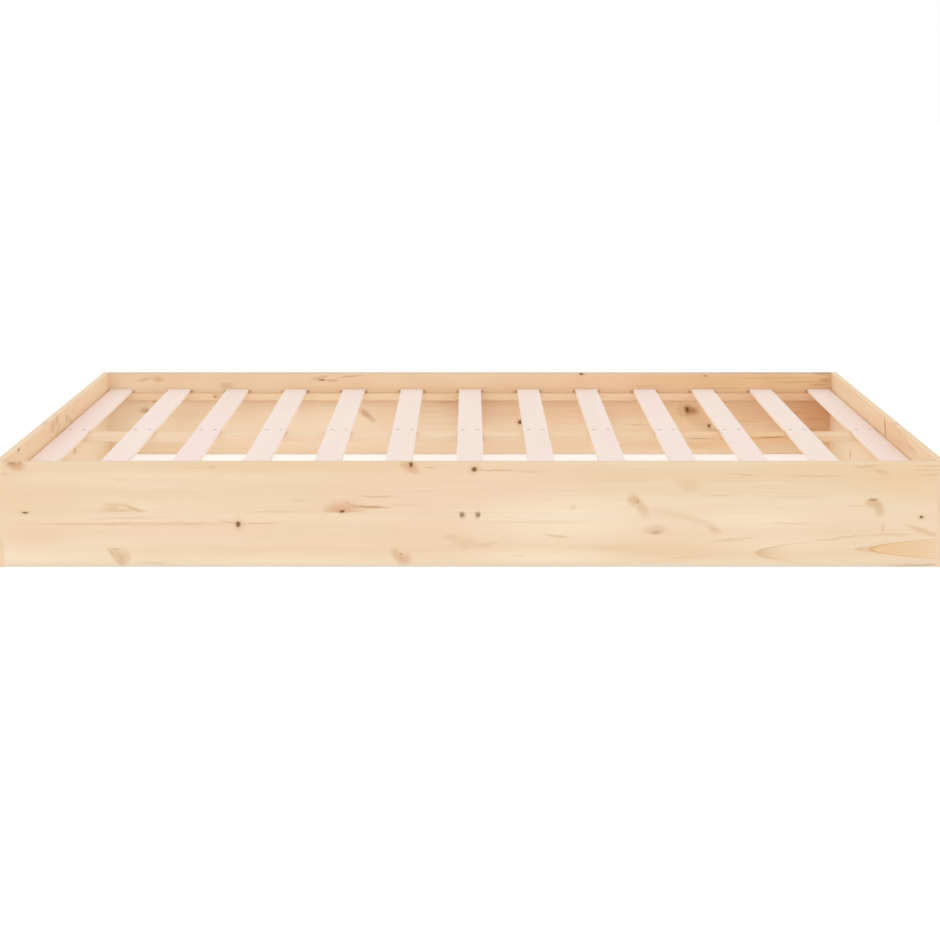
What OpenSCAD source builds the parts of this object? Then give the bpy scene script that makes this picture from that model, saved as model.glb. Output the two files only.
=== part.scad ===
// Low double bed frame: four standing rail boards, ledges for the slats, a lath
// along the middle on a cross rail and a leg, and thirteen slats screwed to the lath.
// The origin is on the floor, under the middle of the frame.
// +X runs along the bed, -Y is the front side and +Z is up.

/* [Mattress] */
// Length of the mattress that lies in the frame
mattress_l = 2000; // [1800:10:2200]
// Width of the mattress that lies in the frame
mattress_w = 1400; // [1000:10:1800]
// Play around the mattress, on each side
mattress_play = 2; // [1:0.5:10]
// Depth of the mattress recess, from the rails' top edges down to the slats
recess_depth = 46; // [30:1:56]

/* [Rails] */
// Height of the rail boards
rail_h = 230; // [220:5:300]
// Thickness of the rail boards
rail_t = 16; // [15:1:22]
// Radius of the eased edges on boards and battens
ease_r = 1.5; // [0.5:0.25:2.5]

/* [Slats] */
// Number of slats
slat_count = 13; // [9:2:17]
// Width of a slat
slat_w = 61; // [50:1:80]
// Thickness of a slat
slat_t = 10; // [8:1:14]
// Gap between an end rail and the slat beside it
slat_end_gap = 4.3; // [1:0.1:12]
// Gap between a slat's tip and the side rail that it points at
slat_tip_gap = 2; // [0.5:0.5:5]
// Radius of the slats' long edges
slat_edge_r = 2; // [0.5:0.25:3.5]
// Radius of the slats' corners, seen from above
slat_corner_r = 3; // [1:0.5:10]

/* [Ledges] */
// Width of a ledge, the seat that it gives the slats
ledge_w = 22; // [20:1:24]
// Height of a ledge
ledge_h = 20; // [18:1:30]
// Gap between a ledge's end and the end rail
ledge_end_gap = 2; // [0.5:0.5:10]

/* [Centre beam] */
// Width of the lath along the middle
beam_w = 60; // [50:1:80]
// Thickness of the lath along the middle
beam_t = 16; // [15:1:20]
// Gap between the lath's end and the end rail
beam_end_gap = 1; // [0.5:0.5:4]
// Depth of a beam seat, along the bed
seat_l = 22; // [20:1:24]
// Height of a beam seat
seat_h = 20; // [18:1:30]

/* [Cross rail] */
// Width of the cross rail, along the bed
cross_w = 60; // [56:1:80]
// Height of the cross rail
cross_h = 86; // [70:1:100]
// Distance between the two connecting screws at each end of the cross rail
cross_screw_pitch = 34.5; // [30:0.5:38]
// Gap between the cross rail's rebates and the ledges that lie in them
rebate_play = 0.3; // [0.1:0.1:1]

/* [Leg] */
// Width of the square leg under the cross rail
leg_w = 50; // [45:1:60]
// Radius of the leg's upright edges
leg_edge_r = 4; // [1:0.5:8]
// Diameter of the glide under the leg
glide_d = 38; // [30:1:44]
// Thickness of the glide under the leg
glide_t = 4; // [3:0.5:6]
// Diameter of the glide's pin
glide_pin_d = 8; // [6:0.5:10]
// Length of the glide's pin
glide_pin_l = 14; // [10:1:18]

/* [Corner joints] */
// Distance from the rails' edges to the outer connecting screws of a corner
corner_margin = 30; // [20:1:40]
// Diameter of a dowel
dowel_d = 8; // [6:0.5:9]
// Length of a dowel
dowel_l = 30; // [24:1:36]
// Depth of a dowel in the end rail
dowel_seat = 10; // [8:1:12]

/* [Connecting screws] */
// Diameter of a connecting screw's thread
conn_d = 7; // [6:0.5:7]
// Length of a connecting screw under its head
conn_l = 60; // [50:1:70]
// Diameter of a connecting screw's head
conn_head_d = 10; // [9:0.5:11]
// Height of a connecting screw's head
conn_head_h = 3; // [2.5:0.5:4]
// Depth of a connecting screw's head below the board's face
conn_sink = 2.5; // [1:0.5:3]
// Width across the flats of a connecting screw's hexagon socket
conn_key = 4; // [3:0.5:5]

/* [Wood screws] */
// Diameter of a wood screw
screw_d = 4; // [3:0.5:4.5]
// Diameter of a wood screw's countersunk head
screw_head_d = 8; // [7:0.5:8.5]
// Depth of a wood screw's head below the face
screw_sink = 0.4; // [0.2:0.1:1]
// Length of the screws through the slats
slat_screw_l = 22; // [18:1:24]
// Distance between the two screws in a slat
slat_screw_pitch = 34.5; // [26:0.5:40]
// Length of the screws through ledges, beam and seats
batten_screw_l = 30; // [26:1:32]
// Distance between the two screws in a beam seat, or over the cross rail
pair_pitch = 36; // [30:1:38]
// Slats from one ledge screw to the next
ledge_screw_step = 2; // [1:1:2]

/* [Leg fittings] */
// Diameter of the threaded stud
stud_d = 8; // [6:0.5:10]
// Length of the stud in the leg
stud_in_leg = 30; // [20:1:40]
// Length of the stud in the insert
stud_in_insert = 16; // [10:1:18]
// Diameter of the threaded insert
insert_d = 12; // [12:0.5:16]
// Length of the threaded insert
insert_l = 18; // [18:1:24]
// Diameter of the insert's collar
collar_d = 18; // [17:0.5:24]
// Thickness of the insert's collar
collar_t = 1.5; // [1:0.5:3]

/* [Hidden] */
// Radial gap between a fastener and its bore
fit_play = 0.05;
// Radial gap around the sunk heads
head_play = 0.25;
// Depth left free past the tip of a fastener
tip_play = 1;
// Overshoot that makes a cut clean
cut = 1;
// Width, length and depth of the arms of a wood screw's cross recess
recess_arm_w = 0.9;
recess_arm_l = 4.4;
recess_arm_d = 1.4;
// Rim height of a countersunk head, and taper length of a screw's tip
rim_h = 0.3;
tip_taper = 4;
// Height of the cone under a connecting screw's head
neck_cone_h = 1;
// Chamfer at the ends of dowels
dowel_chamfer = 1;
// Radius of the glide's lower edge
glide_edge_r = 1;
$fn = 48;

inner_l = mattress_l + 2 * mattress_play;
inner_w = mattress_w + 2 * mattress_play;
outer_l = inner_l + 2 * rail_t;
outer_w = inner_w + 2 * rail_t;

slat_l = inner_w - 2 * slat_tip_gap;
slat_pitch = (inner_l - 2 * slat_end_gap - slat_w) / (slat_count - 1);
slat_top = rail_h - recess_depth;
slat_seat = slat_top - slat_t;
middle_slat = (slat_count + 1) / 2;

ledge_l = inner_l - 2 * ledge_end_gap;
ledge_bottom = slat_seat - ledge_h;
ledge_y = inner_w / 2 - ledge_w / 2;
ledge_mid_z = slat_seat - ledge_h / 2;

beam_l = inner_l - 2 * beam_end_gap;
beam_bottom = slat_seat - beam_t;
seat_x = inner_l / 2 - seat_l / 2;
seat_mid_z = beam_bottom - seat_h / 2;

cross_bottom = beam_bottom - cross_h;
cross_mid_z = beam_bottom - cross_h / 2;
rebate_l = ledge_w + rebate_play;
rebate_bottom = min(ledge_bottom - rebate_play, beam_bottom);

leg_h = cross_bottom - glide_t;
corner_step = (rail_h - 2 * corner_margin) / 4;
corner_screw_z = [for (step = [0, 2, 4]) corner_margin + step * corner_step];
corner_dowel_z = [for (step = [1, 3]) corner_margin + step * corner_step];
side_rail_y = inner_w / 2 + rail_t / 2;
end_rail_x = inner_l / 2 + rail_t / 2;

slats = [for (i = [1 : slat_count]) i];
ledge_screw_slats = [for (i = [1 : ledge_screw_step : slat_count]) i];
ends = [-1, 1];

pine = "burlywood";
pale_pine = "linen";
steel = "silver";

function slat_x(i) = (i - middle_slat) * slat_pitch;

// Rectangle about the origin with its corners rounded
module eased_rect(w, h, r) {
    square([w - 2 * r, h], center = true);
    square([w, h - 2 * r], center = true);
    for (sx = ends, sy = ends)
        translate([sx * (w / 2 - r), sy * (h / 2 - r)])
            circle(r);
}

// Bar along X about the origin, its four long edges eased
module bar_x(l, w, h, r)
    rotate([90, 0, 90])
        linear_extrude(l, center = true)
            eased_rect(w, h, r);

// Bar along Y about the origin, its four long edges eased
module bar_y(l, w, h, r)
    rotate([90, 0, 0])
        linear_extrude(l, center = true)
            eased_rect(w, h, r);

// Turns what points along +Z to point along the bed, outward at that end
module outward_x(end)
    rotate([0, 90 * end, 0])
        children();

// Turns what points along +Z to point across the bed, outward at that side
module outward_y(side)
    rotate([-90 * side, 0, 0])
        children();

// Countersunk wood screw, its head's face at the origin and its tip below
module wood_screw(l)
    difference() {
        rotate_extrude()
            polygon([
                [0, 0],
                [screw_head_d / 2, 0],
                [screw_head_d / 2, -rim_h],
                [screw_d / 2, -rim_h - (screw_head_d - screw_d) / 2],
                [screw_d / 2, -l + tip_taper],
                [0, -l]
            ]);
        for (turn = [0, 90])
            rotate(turn)
                cube([recess_arm_l, recess_arm_w, 2 * recess_arm_d], center = true);
    }

// Bore of a wood screw, from the face above its head down past its tip
module wood_screw_bore(l) {
    translate([0, 0, -l - tip_play])
        cylinder(h = l + tip_play, d = screw_d + 2 * fit_play);
    rotate_extrude()
        polygon([
            [0, -rim_h - screw_head_d / 2],
            [screw_head_d / 2 + head_play, -rim_h + head_play],
            [screw_head_d / 2 + head_play, screw_sink + cut],
            [0, screw_sink + cut]
        ]);
}

// Connecting screw, the face of its head at the origin and its tip below
module connecting_screw()
    difference() {
        rotate_extrude()
            polygon([
                [0, 0],
                [conn_head_d / 2, 0],
                [conn_head_d / 2, -conn_head_h + neck_cone_h],
                [conn_d / 2, -conn_head_h],
                [conn_d / 2, -conn_head_h - conn_l + tip_taper],
                [0, -conn_head_h - conn_l]
            ]);
        cylinder(h = 2 * (conn_head_h - neck_cone_h / 2), d = conn_key / cos(30),
                 center = true, $fn = 6);
    }

// Stepped bore of a connecting screw, from the face above its head past its tip
module connecting_screw_bore() {
    translate([0, 0, -conn_head_h - conn_l - tip_play])
        cylinder(h = conn_l + conn_head_h + tip_play, d = conn_d + 2 * fit_play);
    rotate_extrude()
        polygon([
            [0, -conn_head_h - conn_d / 2],
            [conn_head_d / 2 + head_play, -conn_head_h + neck_cone_h],
            [conn_head_d / 2 + head_play, conn_sink + cut],
            [0, conn_sink + cut]
        ]);
}

// Dowel about the origin along Z, its ends chamfered
module dowel()
    rotate_extrude()
        polygon([
            [0, -dowel_l / 2],
            [dowel_d / 2 - dowel_chamfer, -dowel_l / 2],
            [dowel_d / 2, -dowel_l / 2 + dowel_chamfer],
            [dowel_d / 2, dowel_l / 2 - dowel_chamfer],
            [dowel_d / 2 - dowel_chamfer, dowel_l / 2],
            [0, dowel_l / 2]
        ]);

// Places of the connecting screws in the two corners at one end of the bed
module at_corner_screws(end)
    for (side = ends, z = corner_screw_z)
        translate([end * (outer_l / 2 - conn_sink), side * side_rail_y, z])
            outward_x(end)
                children();

// Places of the dowels in the two corners at one end of the bed
module at_corner_dowels(end)
    for (side = ends, z = corner_dowel_z)
        translate([end * (inner_l / 2 + dowel_seat - dowel_l / 2), side * side_rail_y, z])
            outward_x(end)
                children();

// Places of the connecting screws at one end of the cross rail
module at_cross_screws(side)
    for (end = ends)
        translate([end * cross_screw_pitch / 2, side * (outer_w / 2 - conn_sink), cross_mid_z])
            outward_y(side)
                children();

// Places of the screws in one ledge
module at_ledge_screws(side)
    for (i = ledge_screw_slats)
        translate([slat_x(i), side * (inner_w / 2 - ledge_w + screw_sink), ledge_mid_z])
            outward_y(-side)
                children();

// Places of the two screws in a slat
module at_slat_screws(i)
    for (end = ends)
        translate([slat_x(i) + end * slat_screw_pitch / 2, 0, slat_top - screw_sink])
            children();

// Places of the two screws in a beam seat
module at_seat_screws(end)
    for (side = ends)
        translate([end * (inner_l / 2 - seat_l + screw_sink), side * pair_pitch / 2, seat_mid_z])
            outward_x(-end)
                children();

// Place of the screw through the beam into a beam seat
module at_beam_end_screw(end)
    translate([end * seat_x, 0, slat_seat - screw_sink])
        children();

// Places of the two screws through the beam into the cross rail
module at_beam_middle_screws()
    for (side = ends)
        translate([0, side * pair_pitch / 2, slat_seat - screw_sink])
            children();

// Bores for the dowels of a corner, with room past both of their ends
module dowel_bore()
    cylinder(h = dowel_l + 2 * tip_play, d = dowel_d + 2 * fit_play, center = true);

module side_rail(side)
    color(pine)
        difference() {
            translate([0, side * side_rail_y, rail_h / 2])
                bar_x(inner_l, rail_t, rail_h, ease_r);
            for (end = ends) {
                at_corner_screws(end)
                    connecting_screw_bore();
                at_corner_dowels(end)
                    dowel_bore();
            }
            at_cross_screws(side)
                connecting_screw_bore();
            at_ledge_screws(side)
                wood_screw_bore(batten_screw_l);
        }

// The end rails cover the side rails' ends, so their outer upright edges are eased too
module end_rail(end)
    color(pine)
        difference() {
            translate([end * end_rail_x, 0, 0])
                intersection() {
                    translate([0, 0, rail_h / 2])
                        bar_y(outer_w, rail_t, rail_h, ease_r);
                    linear_extrude(rail_h) {
                        eased_rect(rail_t, outer_w, ease_r);
                        translate([-end * rail_t / 4, 0])
                            square([rail_t / 2, outer_w], center = true);
                    }
                }
            at_corner_screws(end)
                connecting_screw_bore();
            at_corner_dowels(end)
                dowel_bore();
            at_seat_screws(end)
                wood_screw_bore(batten_screw_l);
        }

module ledge(side)
    color(pine)
        difference() {
            translate([0, side * ledge_y, ledge_mid_z])
                bar_x(ledge_l, ledge_w, ledge_h, ease_r);
            at_ledge_screws(side)
                wood_screw_bore(batten_screw_l);
        }

module centre_beam()
    color(pine)
        difference() {
            translate([0, 0, slat_seat - beam_t / 2])
                bar_x(beam_l, beam_w, beam_t, ease_r);
            for (i = slats)
                at_slat_screws(i)
                    wood_screw_bore(slat_screw_l);
            for (end = ends)
                at_beam_end_screw(end)
                    wood_screw_bore(batten_screw_l);
            at_beam_middle_screws()
                wood_screw_bore(batten_screw_l);
        }

module beam_seat(end)
    color(pine)
        difference() {
            translate([end * seat_x, 0, seat_mid_z])
                bar_y(beam_w, seat_l, seat_h, ease_r);
            at_seat_screws(end)
                wood_screw_bore(batten_screw_l);
            at_beam_end_screw(end)
                wood_screw_bore(batten_screw_l);
        }

// The cross rail's ends are rebated on top, where they pass under the ledges
module cross_rail()
    color(pine)
        difference() {
            translate([0, 0, cross_mid_z])
                bar_y(inner_w, cross_w, cross_h, ease_r);
            for (side = ends) {
                translate([-cross_w / 2 - cut, side * (inner_w / 2 - rebate_l), rebate_bottom])
                    mirror([0, (1 - side) / 2, 0])
                        cube([cross_w + 2 * cut, rebate_l + cut, cross_h]);
                at_cross_screws(side)
                    connecting_screw_bore();
            }
            at_beam_middle_screws()
                wood_screw_bore(batten_screw_l);
            translate([0, 0, cross_bottom - cut]) {
                cylinder(h = insert_l + tip_play + cut, d = insert_d + 2 * fit_play);
                cylinder(h = collar_t + cut, d = collar_d + 2 * fit_play);
            }
        }

module centre_leg()
    color(pine)
        difference() {
            translate([0, 0, glide_t])
                linear_extrude(leg_h)
                    eased_rect(leg_w, leg_w, leg_edge_r);
            translate([0, 0, cross_bottom - stud_in_leg - tip_play])
                cylinder(h = stud_in_leg + tip_play + cut, d = stud_d + 2 * fit_play);
            translate([0, 0, glide_t - cut])
                cylinder(h = glide_pin_l + tip_play + cut, d = glide_pin_d + 2 * fit_play);
        }

module leg_insert()
    color("darkgoldenrod")
        translate([0, 0, cross_bottom])
            difference() {
                union() {
                    cylinder(h = insert_l, d = insert_d);
                    cylinder(h = collar_t, d = collar_d);
                }
                translate([0, 0, -cut])
                    cylinder(h = insert_l + 2 * cut, d = stud_d + 2 * fit_play);
            }

module leg_stud()
    color(steel)
        translate([0, 0, cross_bottom - stud_in_leg])
            cylinder(h = stud_in_leg + stud_in_insert, d = stud_d);

module leg_glide()
    color("dimgray")
        rotate_extrude() {
            translate([0, glide_edge_r])
                square([glide_d / 2, glide_t - glide_edge_r]);
            square([glide_d / 2 - glide_edge_r, glide_t]);
            translate([glide_d / 2 - glide_edge_r, glide_edge_r])
                circle(glide_edge_r);
            square([glide_pin_d / 2, glide_t + glide_pin_l]);
        }

module slat(i)
    color(pale_pine)
        difference() {
            translate([slat_x(i), 0, slat_seat + slat_t / 2])
                intersection() {
                    bar_y(slat_l, slat_w, slat_t, slat_edge_r);
                    linear_extrude(slat_t, center = true)
                        eased_rect(slat_w, slat_l, slat_corner_r);
                }
            at_slat_screws(i)
                wood_screw_bore(slat_screw_l);
        }

module corner_screws()
    color(steel)
        for (end = ends)
            at_corner_screws(end)
                connecting_screw();

module corner_dowels()
    color("tan")
        for (end = ends)
            at_corner_dowels(end)
                dowel();

module cross_rail_screws()
    color(steel)
        for (side = ends)
            at_cross_screws(side)
                connecting_screw();

module slat_screws()
    color(steel)
        for (i = slats)
            at_slat_screws(i)
                wood_screw(slat_screw_l);

module ledge_screws()
    color(steel)
        for (side = ends)
            at_ledge_screws(side)
                wood_screw(batten_screw_l);

module beam_screws()
    color(steel) {
        for (end = ends)
            at_beam_end_screw(end)
                wood_screw(batten_screw_l);
        at_beam_middle_screws()
            wood_screw(batten_screw_l);
    }

module seat_screws()
    color(steel)
        for (end = ends)
            at_seat_screws(end)
                wood_screw(batten_screw_l);

side_rail(-1);  // front_rail
side_rail(1);  // back_rail
end_rail(-1);  // left_end_rail
end_rail(1);  // right_end_rail
ledge(-1);  // front_ledge
ledge(1);  // back_ledge
centre_beam();
beam_seat(-1);  // left_beam_seat
beam_seat(1);  // right_beam_seat
cross_rail();
centre_leg();
leg_insert();
leg_stud();
leg_glide();
for (i = slats)
    slat(i);
corner_screws();
corner_dowels();
cross_rail_screws();
slat_screws();
ledge_screws();
beam_screws();
seat_screws();
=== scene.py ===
import math

import bpy
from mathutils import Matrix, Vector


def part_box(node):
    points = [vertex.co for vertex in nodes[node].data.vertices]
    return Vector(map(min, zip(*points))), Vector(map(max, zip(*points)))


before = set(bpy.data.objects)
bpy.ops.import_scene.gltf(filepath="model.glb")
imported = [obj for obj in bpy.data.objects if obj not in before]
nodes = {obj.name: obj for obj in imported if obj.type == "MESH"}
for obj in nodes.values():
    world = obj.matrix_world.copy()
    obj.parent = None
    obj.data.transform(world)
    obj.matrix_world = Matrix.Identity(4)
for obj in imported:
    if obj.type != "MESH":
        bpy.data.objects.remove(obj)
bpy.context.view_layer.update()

print("frame loaded:", len(nodes), "nodes")

mixFactor, mixFirst, mixSecond, mixResult = 0, 6, 7, 2  # a Mix node's sockets for colours
white = (1.0, 1.0, 1.0, 1.0)


# Shader maths: one socket of a shader, used in sums and products like a number
class Term:
    def __init__(self, tree, socket):
        self.tree = tree
        self.socket = socket

    def node(self, kind, settings, inputs, output=0):
        made = self.tree.nodes.new(kind)
        for name, setting in settings.items():
            setattr(made, name, setting)
        for name, value in inputs.items():
            if isinstance(value, Term):
                self.tree.links.new(value.socket, made.inputs[name])
            else:
                made.inputs[name].default_value = value
        return Term(self.tree, made.outputs[output])

    def math(self, operation, *others):
        inputs = dict(enumerate((self, *others)))
        return self.node("ShaderNodeMath", {"operation": operation}, inputs)

    def vector(self, operation, *others, output="Vector"):
        inputs = dict(enumerate((self, *others)))
        return self.node("ShaderNodeVectorMath", {"operation": operation}, inputs, output)

    def __add__(self, other):
        return self.math("ADD", other)

    def __sub__(self, other):
        return self.math("SUBTRACT", other)

    def __rsub__(self, other):
        return self.node("ShaderNodeMath", {"operation": "SUBTRACT"}, {0: other, 1: self})

    def __mul__(self, other):
        return self.math("MULTIPLY", other)

    def __truediv__(self, other):
        return self.math("DIVIDE", other)

    def __gt__(self, other):
        return self.math("GREATER_THAN", other)

    def __abs__(self):
        return self.math("ABSOLUTE")

    __radd__ = __add__
    __rmul__ = __mul__

    def split(self):
        outputs = self.node("ShaderNodeSeparateXYZ", {}, {0: self}).socket.node.outputs
        return [Term(self.tree, output) for output in outputs]

    def join(self, second, third):
        return self.node("ShaderNodeCombineXYZ", {}, {0: self, 1: second, 2: third})

    def ramp(self, low, high, bottom=0.0, top=1.0):  # an eased step, bottom at low to top at high
        inputs = {"Value": self, "From Min": low, "From Max": high, "To Min": bottom, "To Max": top}
        return self.node("ShaderNodeMapRange", {"interpolation_type": "SMOOTHSTEP"}, inputs)

    # stretch is the number of cells per metre on each axis
    def noise(self, stretch, detail=2.0, roughness=0.5, output="Fac"):
        points = self.vector("MULTIPLY", stretch)
        inputs = {"Vector": points, "Scale": 1.0, "Detail": detail, "Roughness": roughness}
        return self.node("ShaderNodeTexNoise", {"noise_dimensions": "3D"}, inputs, output)

    def chances(self, number):  # three random values that stay the same for the same number
        settings = {"noise_dimensions": "1D"}
        return self.node("ShaderNodeTexWhiteNoise", settings, {"W": number}, "Color").split()

    def tint(self, colour, factor, blend="MIX"):  # this colour taken towards another by the factor
        settings = {"data_type": "RGBA", "blend_type": blend, "clamp_factor": True}
        inputs = {mixFactor: factor, mixFirst: self, mixSecond: colour}
        return self.node("ShaderNodeMix", settings, inputs, mixResult)

    def between(self, first, second):  # the first colour where this value is 0, the second where it is 1
        settings = {"data_type": "RGBA", "clamp_factor": True}
        inputs = {mixFactor: self, mixFirst: first, mixSecond: second}
        return self.node("ShaderNodeMix", settings, inputs, mixResult)

    def bump(self):  # the normal of a surface that has this height, in metres
        return self.node("ShaderNodeBump", {}, {"Strength": 1.0, "Distance": 1.0, "Height": self})


def shade(red, green, blue):  # a colour as a screen shows it, 0 to 255, in linear light
    linear = [((part / 255 + 0.055) / 1.055) ** 2.4 for part in (red, green, blue)]
    return (*linear, 1.0)


def newMaterial(name, **uniform):
    material = bpy.data.materials.new(name)
    material.use_nodes = True
    shader = material.node_tree.nodes["Principled BSDF"]
    for socketName, value in uniform.items():
        shader.inputs[socketName.replace("_", " ")].default_value = value
    place = Term(material.node_tree, None).node("ShaderNodeTexCoord", {}, {}, "Object")
    return material, shader, place


def feed(shader, **inputs):
    for name, term in inputs.items():
        term.tree.links.new(term.socket, shader.inputs[name.replace("_", " ")])


def dress(names, material):
    for name in names:
        for slot in nodes[name].material_slots:
            slot.material = material


# A figure in the wood: its place and half size along and across the grain, and its turn in degrees
def knot(u, v, halfLength, halfHeight, turn=0.0):
    return {"place": (u, v), "size": (halfLength, halfHeight), "turn": turn}


# A figure in one of the look's tones. Where it has a floor line, it shows only above that height
def mark(tone, amount, u, v, halfLength, halfHeight, turn=0.0, floorLine=-1.0):
    figure = knot(u, v, halfLength, halfHeight, turn)
    return dict(figure, tone=tone, amount=amount, floorLine=floorLine)


# The marks of a branch that ends in the board: its bark ring, its red wood, its dark heart and a
# streak beside it, each with its shift and half size measured in radii of the branch
branchMarks = [
    {"tone": "halo", "amount": 0.55, "shift": (0.0, 0.0), "half": (2.6, 1.3)},
    {"tone": "live", "amount": 0.75, "shift": (0.0, 0.0), "half": (1.0, 0.82)},
    {"tone": "dead", "amount": 0.60, "shift": (0.15, -0.1), "half": (0.42, 0.36)},
    {"tone": "line", "amount": 0.35, "shift": (-2.4, 0.2), "half": (1.8, 0.16)},
]


def branch(u, v, radius, turn=0.0):
    marks = []
    for each in branchMarks:
        middle = [start + radius * shift for start, shift in zip((u, v), each["shift"])]
        half = [radius * share for share in each["half"]]
        marks.append(mark(each["tone"], each["amount"], *middle, *half, turn))
    return marks


# Numbers that all the wood shares, lengths in metres. Two or four numbers together are an eased
# step: where it starts and ends, and its values there where they aren't 0 and 1
grain = {
    "rowStep": 7.0, "yearStep": 3.7,  # between the random numbers of rows, and of boards' years
    "glueStrength": 0.6,
    "wobbleLength": 1.6, "sway": 0.012, "swayTurns": 2.1, "swayStart": 41.0,
    "pithDepth": 0.020, "pithDepthSpread": 0.045, "bend": (5.0, 0.5, 0.0, 0.006),
    "yearStrength": (0.15, 1.0, 0.15, 1.0), "lateStart": (0.25, 0.85), "lateEnd": (1.0, 0.90),
    "ringsShow": (0.42, 0.70), "endRings": 0.4, "pinkShows": (0.42, 0.66), "poresShow": (0.70, 0.80),
    "endFacing": (0.55, 0.85), "edgeFacing": (0.55, 0.95), "faceDepth": (0.011, 0.005),
    "washEdge": (1.1, 0.1), "markEdge": (1.3, 0.25), "hiddenEdge": (1.3, 0.2), "floorLineHalf": 0.001,
    "slatShadeAlong": (0.0065, 0.0010), "slatShadeAcross": (0.0070, 0.0020),
    "archWander": 0.03, "archEdge": (-0.002, 0.005),
    "archLineStart": (-0.003, 0.003), "archLineEnd": (0.024, 0.004), "archLineHold": 0.5,
    "knotCore": (1.35, 0.45), "knotStrength": 0.92, "knotHalo": (3.0, 0.9, 0.0, 0.32),
}
patterns = {  # cells per metre along and across the grain, detail and roughness
    "showing": (1.3, 13.0, 2.0, 0.6), "bands": (0.8, 15.0, 2.0, 0.55), "mottle": (3.0, 42.0, 3.0, 0.6),
    "hue": (1.7, 9.0, 3.0, 0.6), "fibre": (9.0, 700.0, 2.0, 0.6), "streak": (5.0, 190.0, 2.0, 0.6),
    "pores": (45.0, 1500.0, 1.0, 0.5),
}
shakes = [  # what makes a figure's outline uneven: its cells per metre and its reach in metres
    {"cells": 140.0, "detail": 2.0, "roughness": 0.6, "along": 0.006, "across": 0.003},
    {"cells": 42.0, "detail": 1.0, "roughness": 0.5, "along": 0.008, "across": 0.005},
]
roughening = {"fibre": 0.16, "late": 0.05, "endGrain": 0.14, "arris": 0.06, "pores": 0.1, "knot": 0.08}
relief = {"late": 0.00005, "fibre": 0.00003, "pores": 0.00006, "glueLine": 0.00012, "knot": 0.00010}


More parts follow.
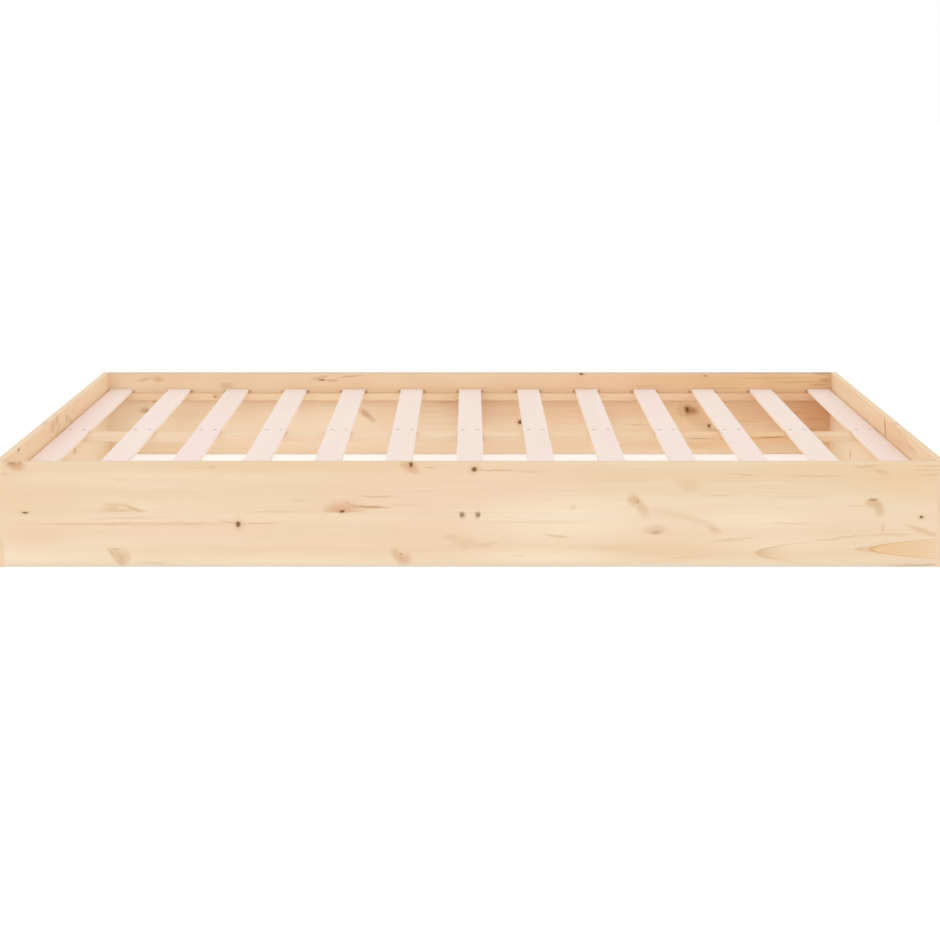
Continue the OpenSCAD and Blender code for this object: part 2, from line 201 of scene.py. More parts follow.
# Solid pine in object coordinates: order names the axes along the grain, across it and through it
def pine(name, corners, order, look, wood):
    material, shader, place = newMaterial(name, IOR=1.46, Specular_IOR_Level=look["gloss"])
    axes = place.split()
    places = ["xyz".index(letter) for letter in order]
    along, across, through = [axes[index] for index in places]
    low = [corners[0][index] for index in places]
    high = [corners[1][index] for index in places]
    seed = wood["seed"]

    def stretch(lengthwise, crosswise):
        return tuple(lengthwise if letter == order[0] else crosswise for letter in "xyz")

    def pattern(patternName):
        lengthwise, crosswise, detail, roughness = patterns[patternName]
        return place.noise(stretch(lengthwise, crosswise), detail, roughness)

    # which board of the glued-up panel, or which piece of a row, this is
    board = seed
    if "rowPitch" in wood:
        row = (across / wood["rowPitch"]).math("ROUND")
        across = across - row * wood["rowPitch"]
        board = row * grain["rowStep"] + seed
        low[1], high[1] = -wood["rowWidth"] / 2, wood["rowWidth"] / 2
    glueLine = 0.0
    for seam in wood.get("seams", []):
        board = (across > seam) + board
        glueLine = abs(across - seam).ramp(look["glueWidth"], 0.0, 0.0, grain["glueStrength"]) + glueLine
    first, second, third = place.chances(board)

    # growth rings round a pith that wanders beside the board
    wobble = place.noise(stretch(grain["wobbleLength"], look["wobbleScale"]))
    sway = (along * grain["swayTurns"] + first * grain["swayStart"]).math("SINE") * grain["sway"]
    pithAcross = (first - 0.5) * look["pithSpread"] + (low[1] + high[1]) / 2
    pithDepth = third * grain["pithDepthSpread"] + grain["pithDepth"]
    pithSide = (second > 0.5) * 2.0 - 1.0  # 1 or -1: above one face of the board or above the other
    pithThrough = pithSide * pithDepth + (low[2] + high[2]) / 2
    fromSide = across - pithAcross - sway
    fromDepth = through - pithThrough - (third - 0.5) * look["lean"] * along
    distance = (fromSide * fromSide + fromDepth * fromDepth).math("SQRT")

    # how far a point is from a knot or mark, in that figure's own size
    spot = along.join(across, 1.0)
    for shake in shakes:
        noise = place.noise((shake["cells"],) * 3, shake["detail"], shake["roughness"], "Color")
        span = (shake["along"] * look["shake"], shake["across"] * look["shake"], 0.0)
        middle = tuple(part / -2 for part in span)
        spot = noise.vector("MULTIPLY_ADD", span, middle).vector("ADD", spot)

    def reach(figure):
        u, v = figure["place"]
        sides = []
        for half, angle in zip(figure["size"], (figure["turn"], figure["turn"] + 90)):
            x, y = math.cos(math.radians(angle)) / half, math.sin(math.radians(angle)) / half
            sides.append(spot.vector("DOT_PRODUCT", (x, y, -u * x - v * y), output="Value"))
        return sides[0].join(sides[1], 0.0).vector("LENGTH", output="Value")

    def painted(colour, figures, edge):
        for figure in figures:
            patch = reach(figure).ramp(*edge, 0.0, figure["amount"])
            line, half = figure["floorLine"], grain["floorLineHalf"]
            if line > 0:
                patch = patch * across.ramp(line - half, line + half)
            colour = colour.tint(look[figure["tone"]], patch)
        return colour

    dead = None  # the nearest dead knot, which the rings bend round
    for each in wood.get("dead", []):
        dead = dead.math("MINIMUM", reach(each)) if dead else reach(each)
    bend = dead.ramp(*grain["bend"]) if dead else 0.0
    ringCount = (distance + bend) / look["ringSpacing"] + wobble * look["wobble"]
    year = ringCount.math("FLOOR")
    inYear = ringCount - year
    strength = place.chances(year + seed * grain["yearStep"])[0].ramp(*grain["yearStrength"])
    showing = pattern("showing").ramp(*grain["ringsShow"], look["ringFloor"], 1.0)
    late = inYear.ramp(*grain["lateStart"]) * inYear.ramp(*grain["lateEnd"]) * strength * showing

    # which way the surface faces: end grain has its own tone, and the side edges a painted shading tone
    facing = place.node("ShaderNodeNewGeometry", {}, {}, "Normal").split()
    endGrain = abs(facing[places[0]]).ramp(*grain["endFacing"])

    # colour, from the board's own tone to the marks on it
    bands, mottle, hue = pattern("bands"), pattern("mottle"), pattern("hue")
    fibre, streak = pattern("fibre"), pattern("streak")
    pores = pattern("pores").ramp(*grain["poresShow"])
    tone = (bands - 0.5) * look["bands"] + (mottle - 0.5) * look["mottle"]
    tone = tone + (streak - 0.5) * look["streak"]
    tone = tone + (second - 0.5) * look["boardSpread"] + 0.5
    colour = tone.between(look["pale"], look["warm"])
    colour = colour.tint(look["pink"], hue.ramp(*grain["pinkShows"], 0.0, look["pinkness"]))
    colour = painted(colour, wood.get("washes", []), grain["washEdge"])
    colour = colour.tint(look["endTone"], endGrain * look["endGrain"])
    colour = colour.tint(look["late"], late * (endGrain * grain["endRings"] + look["ringContrast"]))
    hidden = painted(colour, wood.get("hiddenMarks", []), grain["hiddenEdge"])
    colour = painted(colour, wood.get("marks", []), grain["markEdge"])
    if "slatEndShade" in wood:  # painted shade: the shadowed corner beside each slat that ends here
        slatEndShade = wood["slatEndShade"]
        slip = abs(along - (along / slatEndShade["pitch"]).math("ROUND") * slatEndShade["pitch"])
        corner = abs(slip - slatEndShade["half"]).ramp(*grain["slatShadeAlong"], 0.0, slatEndShade["amount"])
        corner = corner * abs(across - slatEndShade["level"]).ramp(*grain["slatShadeAcross"])
        colour = colour.tint(look["dark"], corner)
    for arch in wood.get("arches", []):
        side = across - arch["level"]
        behind = along - arch["tip"]
        deep = behind - side * side * arch["curve"] + (wobble - 0.5) * grain["archWander"]
        body = deep.ramp(*grain["archEdge"]) * behind.ramp(arch["fade"], 0.0, 0.0, arch["body"])
        line = deep.ramp(*grain["archLineStart"]) * deep.ramp(*grain["archLineEnd"])
        held = arch["length"] * grain["archLineHold"]
        line = line * behind.ramp(arch["length"], held, 0.0, arch["line"])
        colour = colour.tint(look[arch["tone"]], body).tint(look["line"], line)
    if "face" in wood:  # the marks lie on this face of the board, and the hidden marks on the other
        face = corners[wood["face"]][places[2]]
        colour = hidden.tint(colour, abs(through - face).ramp(*grain["faceDepth"]))
    knotty = 0.0
    if dead:
        knotty = dead.ramp(*grain["knotCore"])
        colour = colour.tint(look["halo"], dead.ramp(*grain["knotHalo"]))
        colour = colour.tint(look["dead"], knotty * grain["knotStrength"])
    colour = colour.tint(look["pore"], pores * look["pores"])
    grey = (fibre - 0.5) * look["fibre"] + 1.0
    colour = colour.tint(grey.join(grey, grey), 1.0, "MULTIPLY")
    colour = colour.tint(look["glueTone"], glueLine * look["glue"])

    # painted shading on the side edges (painted shade on rail tops, ledges and beam, painted light on
    # slat sides), then the stains and painted shade lines over it, and the arrises that hands and sanding
    # have worn
    # painted light and shade: faces along the across axis are taken towards the side tone
    edge = abs(facing[places[1]]).ramp(*grain["edgeFacing"], 0.0, look["edge"])
    colour = colour.tint(look["paintedSideShading"], edge)
    colour = painted(colour, wood.get("stainsAndShade", []), grain["washEdge"])
    nearSide = (across - low[1]).math("MINIMUM", high[1] - across)
    nearFace = (through - low[2]).math("MINIMUM", high[2] - through)
    arris = nearSide.math("MAXIMUM", nearFace).ramp(look["arris"], 0.0)
    colour = colour.tint(look["arrisTone"], arris * look["arrisWear"])

    rough = (fibre - 0.5) * roughening["fibre"] - late * roughening["late"]
    rough = rough + endGrain * roughening["endGrain"] - arris * roughening["arris"]
    rough = rough + pores * roughening["pores"] - knotty * roughening["knot"] + look["rough"]
    height = late * relief["late"] + fibre * relief["fibre"] - pores * relief["pores"]
    height = height - glueLine * relief["glueLine"] + knotty * relief["knot"]
    feed(shader, Base_Color=colour, Roughness=rough, Normal=height.bump())
    return material


railLook = {
    "pale": shade(234, 213, 184), "warm": shade(228, 200, 165), "pink": shade(235, 205, 178),
    "light": shade(242, 226, 200), "late": shade(206, 166, 122), "mark": shade(204, 164, 118),
    "line": shade(192, 146, 100), "dark": shade(138, 98, 62), "grey": shade(188, 162, 126),
    "ash": shade(206, 190, 166), "blush": shade(212, 148, 94), "red": shade(212, 162, 128),
    "amber": shade(230, 184, 128), "foot": shade(220, 213, 200), "halo": shade(208, 160, 114),
    "live": shade(160, 102, 60), "dead": shade(112, 76, 40), "pore": shade(184, 140, 98),
    "glueTone": shade(176, 134, 96), "endTone": shade(233, 206, 174), "arrisTone": shade(243, 222, 192),
    # The side tone below, at its amount, is painted shade that greys the rails' top and bottom faces
    "paintedSideShading": shade(222, 202, 172), "edge": 0.3,
    "ringSpacing": 0.0046, "ringContrast": 0.26, "ringFloor": 0.08, "wobble": 2.6, "wobbleScale": 9.0,
    "pithSpread": 0.20, "lean": 0.030, "boardSpread": 0.35, "bands": 2.0, "mottle": 1.0, "streak": 0.4,
    "pinkness": 0.6, "pores": 0.18, "fibre": 0.09, "glue": 0.20, "glueWidth": 0.0007, "endGrain": 0.75,
    "arris": 0.0022, "arrisWear": 0.20, "rough": 0.60, "gloss": 0.16, "shake": 1.0,
}
slatPitch = 0.1612
wholeLength = 9.0  # half the length of a mark that runs past both ends of its board

# Seams, knots and marks are placed in metres from the middle of the board and above the floor.
# Washes lie under the growth rings, marks over them, and stains and painted shade lines over the painted
# shading of the side edges

frontRail = {
    "seed": 11.0,
    "seams": [0.042, 0.118, 0.166],
    "face": 0,
    "hiddenMarks": (
        branch(0.42, 0.105, 0.011) + branch(-0.62, 0.06, 0.008) + branch(-0.33, 0.15, 0.006, 30)
    ),
    "dead": [
        knot(-0.9535, 0.1195, 0.0068, 0.0024), knot(-0.4975, 0.0951, 0.0064, 0.006),
        knot(0.0106, 0.2128, 0.0066, 0.005), knot(-0.1263, 0.2236, 0.0046, 0.006),
        knot(-0.2737, 0.1225, 0.0064, 0.0034), knot(0.9691, 0.109, 0.0041, 0.0034),
    ],
    "washes": [
        mark("warm", 0.8, 0.84, 0.205, 0.28, 0.05), mark("amber", 0.22, 0.94, 0.19, 0.14, 0.05),
        mark("warm", 0.3, 0.42, 0.03, 0.14, 0.022), mark("light", 0.7, 0.16, 0.022, 0.24, 0.026),
        mark("pink", 0.7, -0.1, 0.15, 0.12, 0.04), mark("light", 0.6, 0.2, 0.105, 0.26, 0.07),
        mark("light", 0.5, -0.45, 0.014, 0.6, 0.026), mark("pink", 0.5, -0.62, 0.085, 0.3, 0.024),
        mark("light", 0.5, 0.62, 0.105, 0.2, 0.034), mark("warm", 0.5, -0.93, 0.07, 0.08, 0.03),
        mark("pink", 0.5, 0.05, 0.2, 0.1, 0.02), mark("light", 0.5, -0.9, 0.018, 0.22, 0.022),
        mark("warm", 0.9, -0.42, 0.222, 0.72, 0.024), mark("warm", 0.4, -0.96, 0.15, 0.25, 0.1),
        mark("light", 0.35, 0.66, 0.052, 0.24, 0.03), mark("warm", 0.45, 0.98, 0.16, 0.12, 0.03),
        # The foot tone along the bottom edge is a painted contact shadow
        mark("light", 0.45, -1.0, 0.02, 0.1, 0.028), mark("foot", 0.85, 0.0, -0.002, wholeLength, 0.013),
        mark("mark", 0.2, -0.995, 0.214, 0.075, 0.03),
    ],
    "marks": [
        mark("red", 0.75, -0.974, 0.225, 0.02, 0.011), mark("line", 0.5, -0.9785, 0.227, 0.011, 0.0085),
        mark("dark", 0.36, -0.978, 0.2285, 0.008, 0.0055),
        mark("dark", 0.46, -0.962, 0.228, 0.007, 0.0034), mark("mark", 0.6, -0.966, 0.22, 0.017, 0.011),
        mark("line", 0.35, -0.998, 0.203, 0.012, 0.002),
        mark("mark", 0.44, -0.756, 0.1207, 0.04, 0.021, 0, 0.1207),
        mark("pale", 0.75, -0.74, 0.13, 0.017, 0.0048, -4),
        mark("mark", 0.6, -0.716, 0.1262, 0.034, 0.0046, -16, 0.1207),
        mark("line", 0.25, -0.764, 0.1375, 0.022, 0.0022),
        mark("mark", 0.25, -0.748, 0.191, 0.012, 0.0026), mark("mark", 0.26, -0.73, 0.0948, 0.28, 0.0046),
        mark("line", 0.16, -0.86, 0.0945, 0.038, 0.0026),
        mark("line", 0.16, -0.76, 0.0946, 0.044, 0.0026),
        mark("line", 0.18, -0.61, 0.0958, 0.048, 0.0024), mark("pale", 0.5, -0.76, 0.1015, 0.18, 0.003),
        mark("mark", 0.22, -0.72, 0.108, 0.09, 0.003, 2),
        mark("line", 0.42, -0.52, 0.0985, 0.024, 0.0019, -6),
        mark("line", 0.36, -0.455, 0.0953, 0.046, 0.0022),
        mark("mark", 0.24, -0.41, 0.1215, 0.07, 0.0026),
        mark("mark", 0.48, -0.759, 0.0245, 0.024, 0.013, -54),
        mark("mark", 0.4, -0.743, 0.02, 0.015, 0.018),
        mark("line", 0.45, -0.773, 0.0315, 0.013, 0.003, -62),
        mark("line", 0.26, -0.752, 0.0075, 0.011, 0.005, -40),
        mark("line", 0.3, -0.762, 0.04, 0.014, 0.0022, -4),
        mark("ash", 0.5, -0.678, 0.008, 0.042, 0.004, -4),
        mark("mark", 0.34, -0.551, 0.219, 0.009, 0.0048),
        mark("line", 0.2, -0.595, 0.217, 0.03, 0.0018, -4),
        mark("red", 0.55, -0.268, 0.12, 0.046, 0.028, 0, 0.12),
        mark("red", 0.45, -0.276, 0.12, 0.026, 0.02, 0, 0.12),
        mark("mark", 0.38, -0.296, 0.12, 0.024, 0.021, 0, 0.12),
        mark("line", 0.3, -0.256, 0.138, 0.016, 0.0026, -20),
        mark("line", 0.78, -0.214, 0.1318, 0.042, 0.0034, -2),
        mark("line", 0.44, -0.196, 0.1545, 0.043, 0.0022),
        mark("mark", 0.24, -0.37, 0.146, 0.018, 0.0022), mark("red", 0.6, -0.128, 0.217, 0.016, 0.014),
        mark("mark", 0.45, -0.14, 0.225, 0.01, 0.008), mark("mark", 0.4, -0.117, 0.211, 0.011, 0.01, -50),
        mark("line", 0.4, -0.087, 0.218, 0.011, 0.002),
        mark("mark", 0.5, -0.158, 0.027, 0.021, 0.011, -54),
        mark("red", 0.55, -0.141, 0.0175, 0.02, 0.015), mark("dark", 0.3, -0.149, 0.029, 0.005, 0.0036),
        mark("line", 0.2, -0.14, 0.136, 0.05, 0.002), mark("mark", 0.3, -0.04, 0.066, 0.02, 0.008),
        mark("mark", 0.26, -0.012, 0.052, 0.034, 0.015), mark("mark", 0.26, 0.032, 0.05, 0.028, 0.006, 8),
        mark("line", 0.5, 0.056, 0.2115, 0.044, 0.0022), mark("line", 0.3, 0.13, 0.209, 0.042, 0.002),
        mark("grey", 0.3, 0.2203, 0.1314, 0.008, 0.008),
        mark("mark", 0.46, 0.185, 0.0685, 0.032, 0.003, -6),
        mark("mark", 0.3, 0.104, 0.024, 0.018, 0.003), mark("mark", 0.62, 0.35, 0.147, 0.015, 0.014, -20),
        mark("dark", 0.5, 0.359, 0.1436, 0.0036, 0.0034),
        mark("mark", 0.42, 0.369, 0.13, 0.024, 0.013, -56),
        mark("mark", 0.13, 0.43, 0.117, 0.078, 0.0085, -14),
        mark("mark", 0.15, 0.495, 0.1, 0.048, 0.0095, -18),
        mark("mark", 0.38, 0.524, 0.082, 0.02, 0.0076, -24),
        mark("mark", 0.38, 0.398, 0.0815, 0.029, 0.011), mark("grey", 0.36, 0.399, 0.077, 0.016, 0.006),
        mark("dark", 0.24, 0.399, 0.0755, 0.01, 0.0034),
        mark("mark", 0.24, 0.469, 0.181, 0.033, 0.017, -8),
        mark("red", 0.26, 0.53, 0.1565, 0.046, 0.0026), mark("line", 0.34, 0.588, 0.202, 0.028, 0.0022),
        mark("line", 0.3, 0.74, 0.1985, 0.072, 0.002), mark("line", 0.26, 0.7, 0.153, 0.078, 0.002),
        mark("mark", 0.3, 0.56, 0.06, 0.05, 0.004, 6), mark("mark", 0.22, 0.15, 0.098, 0.13, 0.004),
        mark("mark", 0.26, 0.69, 0.096, 0.07, 0.003), mark("mark", 0.62, 0.864, 0.14, 0.02, 0.013, -14),
        mark("mark", 0.5, 0.878, 0.124, 0.013, 0.017, 0, 0.112),
        mark("dark", 0.58, 0.864, 0.148, 0.011, 0.0036), mark("mark", 0.36, 0.886, 0.087, 0.004, 0.012),
        mark("mark", 0.5, 0.848, 0.22, 0.036, 0.0034, 3),
        mark("mark", 0.4, 0.878, 0.209, 0.022, 0.005, -12),
        mark("line", 0.34, 0.982, 0.221, 0.034, 0.0024), mark("line", 0.3, 0.978, 0.2115, 0.034, 0.0022),
        mark("line", 0.3, 0.985, 0.2014, 0.028, 0.0022),
        mark("mark", 0.36, 0.799, 0.064, 0.058, 0.003, 6), mark("mark", 0.3, 0.9, 0.071, 0.06, 0.003),
        mark("mark", 0.44, 0.965, 0.082, 0.034, 0.006, -20),
        mark("mark", 0.3, 0.998, 0.072, 0.02, 0.006, -12), mark("line", 0.18, 0.828, 0.133, 0.03, 0.0026),
        mark("red", 0.24, 0.47, 0.022, 0.05, 0.0036, 4), mark("grey", 0.5, 0.97, 0.004, 0.09, 0.003),
        # Painted shade in the recesses round the two screw heads
        mark("dark", 0.36, -0.0172, 0.1143, 0.0078, 0.0088),
        mark("dark", 0.36, 0.0172, 0.1143, 0.0078, 0.0088),
    ],
    "stainsAndShade": [
        mark("amber", 0.45, -0.966, 0.231, 0.042, 0.004), mark("mark", 0.18, -0.966, 0.231, 0.042, 0.004),
    ],
    "arches": [
        {
            "tip": 0.612, "level": 0.031, "curve": 185.0, "tone": "mark",
            "body": 0.36, "fade": 0.09, "line": 0.22, "length": 0.17,
        },
        {
            "tip": 0.824, "level": 0.0395, "curve": 520.0, "tone": "mark",
            "body": 0.55, "fade": 0.055, "line": 0.0, "length": 0.05,
        },
        {
            "tip": 0.852, "level": 0.0395, "curve": 310.0, "tone": "amber",
            "body": 0.58, "fade": 0.28, "line": 0.4, "length": 0.36,
        },
    ],
}

backRail = {
    "seed": 31.0,
    "seams": [0.045, 0.102, 0.16],
    "face": 0,
    "hiddenMarks": (
        branch(-0.73, 0.115, 0.012, 14) + branch(-0.22, 0.072, 0.009, -20) + branch(0.39, 0.164, 0.007)
        + branch(0.87, 0.07, 0.01, 8) + branch(0.61, 0.12, 0.014, 12)
    ),
    # Painted shade in the corner beside the end of each slat
    "slatEndShade": {"pitch": slatPitch, "half": 0.0345, "level": 0.176, "amount": 0.4},
    "dead": [
        knot(0.1392, 0.0905, 0.0062, 0.0056), knot(0.3097, 0.2262, 0.0062, 0.0028),
        knot(0.604, 0.1255, 0.006, 0.0085, 20), knot(0.665, 0.08, 0.005, 0.005),
    ],
    "washes": [
        # The first light wash is painted light on the lower inner face, which lies in shade
        mark("light", 0.62, -0.3, 0.065, 1.1, 0.125), mark("pink", 0.5, 0.35, 0.2, 0.3, 0.06),
        mark("warm", 0.3, -0.86, 0.1, 0.1, 0.09), mark("amber", 0.34, 0.58, 0.1, 0.22, 0.1),
        mark("warm", 0.6, 0.24, 0.12, 0.28, 0.06), mark("amber", 0.26, 0.75, 0.04, 0.35, 0.036),
    ],
    "marks": [
        # The two light marks here are painted light in the shaded left corner
        mark("light", 0.58, -0.97, 0.105, 0.17, 0.1), mark("light", 0.35, -0.8, 0.15, 0.12, 0.03),
        mark("light", 0.3, 0.3, 0.006, 0.6, 0.012), mark("warm", 0.4, -0.2, 0.105, 0.09, 0.045),
        mark("red", 0.22, 0.37, 0.1, 0.07, 0.035), mark("amber", 0.16, 0.25, 0.207, 0.1, 0.03),
        mark("blush", 0.44, 0.99, 0.115, 0.27, 0.076), mark("blush", 0.22, 0.99, 0.1, 0.14, 0.09),
        mark("amber", 0.62, 0.8, 0.21, 0.48, 0.042),
        mark("mark", 0.45, -0.905, 0.21, 0.026, 0.006, 14, 0.2045),
        mark("mark", 0.5, -0.864, 0.211, 0.02, 0.008, -16, 0.2045),
        mark("mark", 0.35, -0.675, 0.193, 0.024, 0.011), mark("mark", 0.6, -0.905, 0.124, 0.017, 0.01),
        mark("dark", 0.4, -0.899, 0.122, 0.008, 0.005), mark("grey", 0.6, -0.877, 0.149, 0.007, 0.005),
        mark("mark", 0.55, -0.418, 0.215, 0.028, 0.006, 10),
        mark("red", 0.5, -0.385, 0.208, 0.026, 0.006), mark("dark", 0.85, -0.4105, 0.209, 0.0105, 0.0034),
        mark("line", 0.55, -0.33, 0.219, 0.042, 0.0022, 4),
        mark("red", 0.7, -0.292, 0.115, 0.02, 0.01, -30),
        mark("mark", 0.5, -0.275, 0.102, 0.018, 0.008, -42),
        mark("line", 0.24, -0.065, 0.146, 0.03, 0.0045), mark("line", 0.4, 0.31, 0.0549, 0.019, 0.002),
        mark("dark", 0.75, 0.651, 0.2205, 0.006, 0.0028),
        mark("dark", 0.14, 0.582, 0.131, 0.013, 0.007, 50),
        mark("dark", 0.12, 0.586, 0.113, 0.012, 0.007, -58),
        mark("red", 0.55, 0.612, 0.123, 0.034, 0.021),
        mark("live", 0.65, 0.619, 0.1215, 0.017, 0.011, -15),
        mark("live", 0.8, 0.606, 0.1235, 0.012, 0.014), mark("line", 0.24, 0.64, 0.09, 0.046, 0.024, -30),
        mark("line", 0.4, 0.69, 0.068, 0.034, 0.007, -8), mark("line", 0.35, 0.65, 0.042, 0.024, 0.0022),
        mark("line", 0.35, 0.9, 0.204, 0.08, 0.003), mark("line", 0.45, 0.97, 0.195, 0.03, 0.004),
        mark("line", 0.3, 0.84, 0.215, 0.14, 0.0026), mark("dark", 0.3, 0.985, 0.208, 0.02, 0.007),
        mark("line", 0.4, 0.9, 0.118, 0.05, 0.0022), mark("line", 0.45, 0.96, 0.1, 0.036, 0.0026),
        mark("line", 0.3, 0.77, 0.093, 0.05, 0.0022), mark("dark", 0.22, 0.93, 0.07, 0.07, 0.006),
        mark("blush", 0.35, 0.8, 0.16, 0.07, 0.005), mark("line", 0.28, 0.7, 0.187, 0.06, 0.0022),
        mark("line", 0.26, 0.5, 0.193, 0.07, 0.002), mark("line", 0.3, 0.47, 0.083, 0.04, 0.0026),
        # The ash line along the bottom edge is a painted contact shadow
        mark("line", 0.26, -0.12, 0.12, 0.06, 0.0024), mark("ash", 0.45, 0.0, 0.0, wholeLength, 0.0045),
        mark("ash", 0.3, 0.0, 0.229, wholeLength, 0.003),
        mark("foot", 0.4, 0.0, 0.23, wholeLength, 0.009), mark("dark", 0.25, 0.86, 0.2285, 0.26, 0.003),
        mark("dark", 0.35, 0.98, 0.227, 0.03, 0.005),
    ],
}

leftRail = {
    "seed": 51.0,
    "seams": [0.05, 0.112, 0.172],
    "face": 1,
    "hiddenMarks": (
        branch(-0.46, 0.15, 0.011, 10) + branch(0.12, 0.08, 0.013, -12) + branch(0.52, 0.19, 0.007)
    ),
    # The first light wash is painted light on the shaded lower inner face
    "washes": [mark("light", 0.7, 0.2, 0.06, 1.6, 0.09), mark("light", 0.2, 0.48, 0.205, 0.32, 0.06)],
    "marks": [
        mark("dark", 0.6, -0.531, 0.2235, 0.02, 0.0045), mark("mark", 0.14, -0.66, 0.22, 0.04, 0.01),
        mark("mark", 0.45, -0.125, 0.213, 0.036, 0.016),
        mark("dark", 0.3, -0.072, 0.218, 0.017, 0.015, -35),
        mark("dark", 0.26, 0.053, 0.202, 0.015, 0.014, -20),
        mark("mark", 0.45, 0.09, 0.195, 0.05, 0.007, -20),
        mark("mark", 0.35, -0.06, 0.196, 0.05, 0.008, 14), mark("mark", 0.6, 0.151, 0.104, 0.024, 0.01),
        mark("pale", 0.34, -0.005, 0.212, 0.045, 0.02),
    ],
    "stainsAndShade": [mark("ash", 0.55, -0.19, 0.23, 0.05, 0.004)],
}

rightRail = {
    "seed": 71.0,
    "seams": [0.048, 0.108, 0.168],
    "face": 0,
    "hiddenMarks": (
        branch(0.35, 0.135, 0.012, -8) + branch(-0.19, 0.07, 0.009, 16) + branch(-0.56, 0.185, 0.008)
    ),
    "washes": [
        # The first light wash is painted light on the shaded lower inner face
        mark("light", 0.7, 0.2, 0.06, 1.6, 0.09), mark("light", 0.2, 0.5, 0.205, 0.28, 0.06),
        mark("amber", 0.32, -0.26, 0.21, 0.2, 0.05),
    ],
    "marks": [
        mark("line", 0.85, -0.103, 0.204, 0.029, 0.0105, 61),
        mark("line", 0.8, 0.361, 0.0585, 0.01, 0.0135), mark("line", 0.3, -0.6, 0.205, 0.08, 0.004),
        mark("mark", 0.3, -0.42, 0.21, 0.08, 0.008),
    ],
    "stainsAndShade": [mark("ash", 0.9, -0.199, 0.23, 0.024, 0.004)],
}

frontLook = dict(railLook, ringContrast=0.18)
# Painted light: the back and end rails are lighter copies of the rail pine, making up for the shade on
# their inner faces
backLook = dict(
    railLook, pale=shade(245, 223, 192), warm=shade(239, 205, 166), pink=shade(242, 206, 175),
    light=shade(254, 241, 217))
endLook = dict(
    railLook, pale=shade(247, 221, 186), warm=shade(240, 207, 167), pink=shade(245, 210, 177),
    light=shade(250, 234, 206), edge=0.5, endTone=shade(228, 203, 172))
for nodeName, order, look, wood in [
    ("front_rail", "xzy", frontLook, frontRail), ("back_rail", "xzy", backLook, backRail),
    ("left_end_rail", "yzx", endLook, leftRail), ("right_end_rail", "yzx", endLook, rightRail),
]:
    dress([nodeName], pine(nodeName + "Pine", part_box(nodeName), order, look, wood))
print("rails done")

battenLook = dict(
    railLook, pale=shade(239, 212, 177), warm=shade(233, 197, 156), pink=shade(239, 202, 170),
    ringSpacing=0.0034, pithSpread=0.10, edge=0.0)
# The ledges' darker side tone is painted shade on their top and bottom faces
ledgeLook = dict(
    battenLook, pale=shade(243, 217, 183), warm=shade(237, 202, 162), pink=shade(243, 207, 176),
    paintedSideShading=shade(206, 164, 118), edge=0.5)
# The beam is a lighter copy of the batten pine, as painted light, and its darker side tone is painted
# shade on its top and bottom faces
beamLook = dict(
    battenLook, pale=shade(247, 231, 206), warm=shade(243, 219, 188), pink=shade(246, 218, 191),
    paintedSideShading=shade(236, 206, 170), edge=0.85)
backLedge = {
    "seed": 206.0,
    "washes": [mark("blush", 0.4, 0.92, 0.165, 0.45, 0.08)],
    "marks": [
        mark("dark", 0.6, -0.7065, 0.1644, 0.006, 0.0045), mark("red", 0.5, -0.7, 0.166, 0.016, 0.007),
        # The line along the whole lower edge is painted shadow under the ledge
        mark("line", 0.4, 0.52, 0.166, 0.004, 0.004), mark("line", 0.3, 0.0, 0.1545, wholeLength, 0.002),
    ],
}
beamWood = {
    "seed": 211.0,
    "stainsAndShade": [
        mark("amber", 0.7, 0.72, 0.166, 0.25, 0.06), mark("amber", 0.3, 0.45, 0.166, 0.45, 0.06),
        # The dark lines along the upper front face are a painted shadow line
        mark("dark", 0.62, 0.738, 0.169, 0.054, 0.003, 2), mark("dark", 0.42, 0.56, 0.166, 0.048, 0.0024),
        mark("dark", 0.3, 0.33, 0.1665, 0.04, 0.0022),
    ],
}
for nodeName, order, look, wood in [
    ("front_ledge", "xzy", ledgeLook, {"seed": 201.0}), ("back_ledge", "xzy", ledgeLook, backLedge),
    ("centre_beam", "xzy", beamLook, beamWood),
    ("left_beam_seat", "yzx", battenLook, {"seed": 216.0}),
    ("right_beam_seat", "yzx", battenLook, {"seed": 221.0}),
    ("cross_rail", "yzx", battenLook, {"seed": 226.0, "dead": [knot(0.25, 0.12, 0.008, 0.006)]}),
    ("centre_leg", "zxy", battenLook, {"seed": 231.0}),
]:
    dress([nodeName], pine(nodeName + "Pine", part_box(nodeName), order, look, wood))
print("battens done")

# The slats' paler side tone is painted light on their side faces
slatLook = dict(
    railLook, pale=shade(244, 229, 219), warm=shade(240, 221, 208), pink=shade(244, 222, 216),
    late=shade(222, 194, 174), ringContrast=0.12, boardSpread=0.3, bands=0.9, mottle=0.6, streak=0.3,
    pinkness=0.7, pores=0.10, fibre=0.06, arrisTone=shade(250, 230, 208), paintedSideShading=shade(247, 230, 216),
    edge=0.85, shake=0.12, endGrain=0.6, endTone=shade(238, 214, 194), dark=shade(132, 118, 108))
slatNames = [f"slat_{number}" for number in range(1, 14)]
slatWood = {  # one material for the row of slats, with a ring of painted shade round both screws of each
    "seed": 101.0, "rowPitch": slatPitch, "rowWidth": 0.061,
    "marks": [mark("dark", 0.34, 0.0, side * 0.01725, 0.007, 0.0066) for side in (1, -1)],
}
dress(slatNames, pine("slatPine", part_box("slat_7"), "yxz", slatLook, slatWood))
print("slats done")

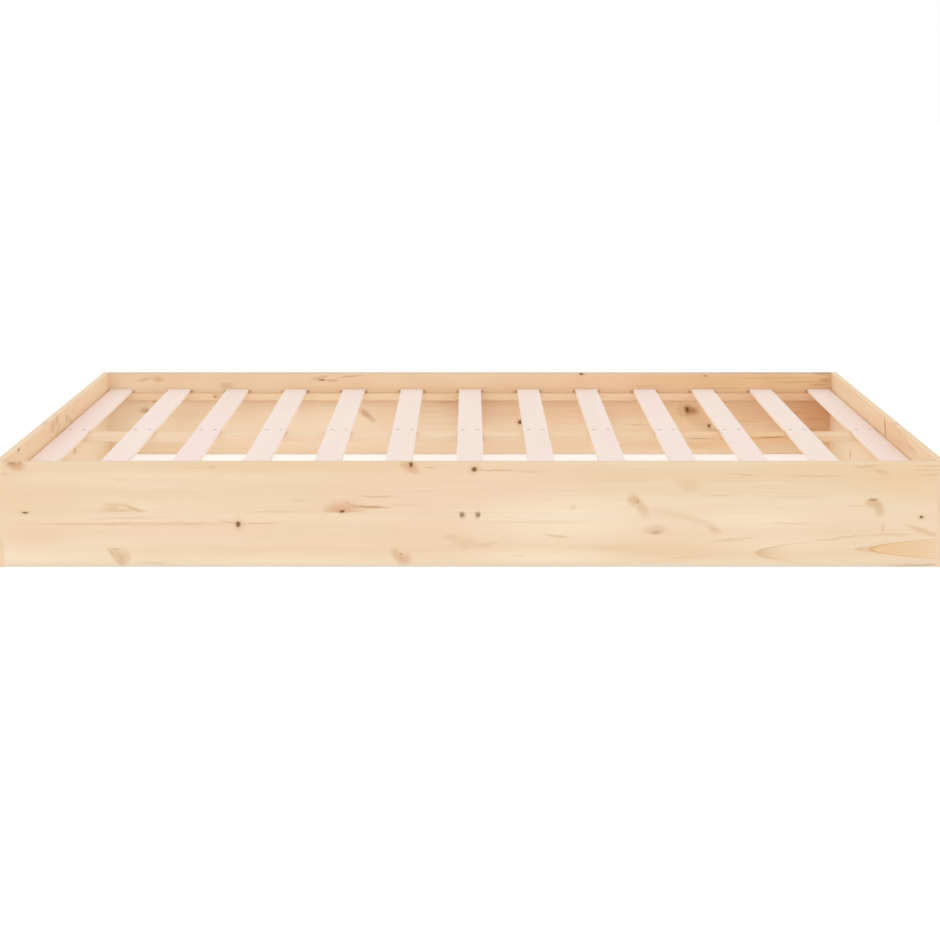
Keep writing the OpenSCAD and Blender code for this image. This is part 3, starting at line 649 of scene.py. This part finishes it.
tooling = {  # what the fittings share, heights in metres
    "mottleEdge": (0.35, 0.65), "mottleHeight": 0.00002, "grooveHeight": 0.000015,
    "grooveRough": 0.1, "grooveStretch": 3,
}
fittings = {  # mottle and grooves in cells per metre
    "yellowZinc": {
        "nodes": ["corner_screws", "cross_rail_screws"],
        "metallic": 1.0, "tone": shade(188, 164, 140), "dull": shade(160, 134, 110), "dullness": 0.7,
        "mottle": 260.0, "grooves": 2600.0, "rough": 0.38, "roughSpread": 0.2,
    },
    "zincSteel": {
        "nodes": ["slat_screws", "ledge_screws", "beam_screws", "seat_screws", "leg_stud"],
        "metallic": 1.0, "tone": shade(186, 182, 174), "dull": shade(158, 152, 142), "dullness": 0.8,
        "mottle": 320.0, "grooves": 2600.0, "rough": 0.34, "roughSpread": 0.2,
    },
    "insertBrass": {
        "nodes": ["leg_insert"],
        "metallic": 1.0, "tone": shade(214, 174, 104), "dull": shade(176, 134, 74), "dullness": 0.6,
        "mottle": 300.0, "grooves": 2400.0, "rough": 0.30, "roughSpread": 0.2,
    },
    "glidePlastic": {
        "nodes": ["leg_glide"],
        "metallic": 0.0, "tone": shade(66, 62, 58), "dull": shade(52, 49, 46), "dullness": 0.8,
        "mottle": 500.0, "grooves": 3000.0, "rough": 0.48, "roughSpread": 0.2,
    },
    "dowelBeech": {
        "nodes": ["corner_dowels"],
        "metallic": 0.0, "tone": shade(214, 176, 140), "dull": shade(190, 146, 108), "dullness": 0.7,
        "mottle": 900.0, "grooves": 2600.0, "rough": 0.55, "roughSpread": 0.1,
    },
}


# Metal, plastic and beech: a mottled finish with fine tooling marks
def mottled(name, finish):
    material, shader, place = newMaterial(name, Metallic=finish["metallic"])
    patches = place.noise((finish["mottle"],) * 3, 3.0, 0.6)
    grooves = finish["grooves"]
    fine = place.noise((grooves, grooves, grooves * tooling["grooveStretch"]), 2.0, 0.5)
    mix = patches.ramp(*tooling["mottleEdge"], 0.0, finish["dullness"])
    colour = mix.between(finish["tone"], finish["dull"])
    height = fine * tooling["grooveHeight"] + patches * tooling["mottleHeight"]
    rough = (patches - 0.5) * finish["roughSpread"] + (fine - 0.5) * tooling["grooveRough"]
    feed(shader, Base_Color=colour, Roughness=rough + finish["rough"], Normal=height.bump())
    return material


for name, finish in fittings.items():
    dress(finish["nodes"], mottled(name, finish))
print("fittings done")

studio = {  # places and sizes in metres, angles in degrees
    "camera": (0.0, -5.329, 1.0463), "pitch": 10.253, "lens": 83.97, "farClip": 200,
    "sky": 1.0, "lamp": 12.0, "lampSize": 3.5,
    "lampPlace": (-2.2, -2.6, 4.2), "lampTilt": 32, "lampTurn": -40,
    "floorSize": 80, "floorDrop": 0.0004, "floorTone": 0.70, "floorRough": 0.9, "floorGlow": 0.43,
}
world = bpy.data.worlds.new("studioWorld")
bpy.context.scene.world = world
world.use_nodes = True
background = world.node_tree.nodes["Background"]
background.inputs["Color"].default_value = white
background.inputs["Strength"].default_value = studio["sky"]

bpy.ops.object.select_all(action="DESELECT")
bpy.ops.mesh.primitive_plane_add(size=studio["floorSize"], location=(0, 0, -studio["floorDrop"]))
floor = bpy.context.object
floor.name = "studioFloor"
floorMaterial, floorShader = newMaterial(
    "floorWhite", Roughness=studio["floorRough"], Emission_Strength=studio["floorGlow"])[:2]
floorShader.inputs["Base Color"].default_value = (studio["floorTone"],) * 3 + (1.0,)
floorShader.inputs["Emission Color"].default_value = white
floor.data.materials.append(floorMaterial)

bpy.ops.object.light_add(type="AREA", location=studio["lampPlace"])
lamp = bpy.context.object
lamp.data.energy = studio["lamp"]
lamp.data.size = studio["lampSize"]
lamp.rotation_euler = (math.radians(studio["lampTilt"]), 0.0, math.radians(studio["lampTurn"]))

# The camera of the photograph, worked out from the frame's corners
bpy.ops.object.camera_add(location=studio["camera"], rotation=(math.radians(90 - studio["pitch"]), 0, 0))
camera = bpy.context.object
camera.data.lens = studio["lens"]
camera.data.clip_end = studio["farClip"]
bpy.context.scene.camera = camera
bpy.context.scene.view_settings.view_transform = "Standard"
print("stage done")
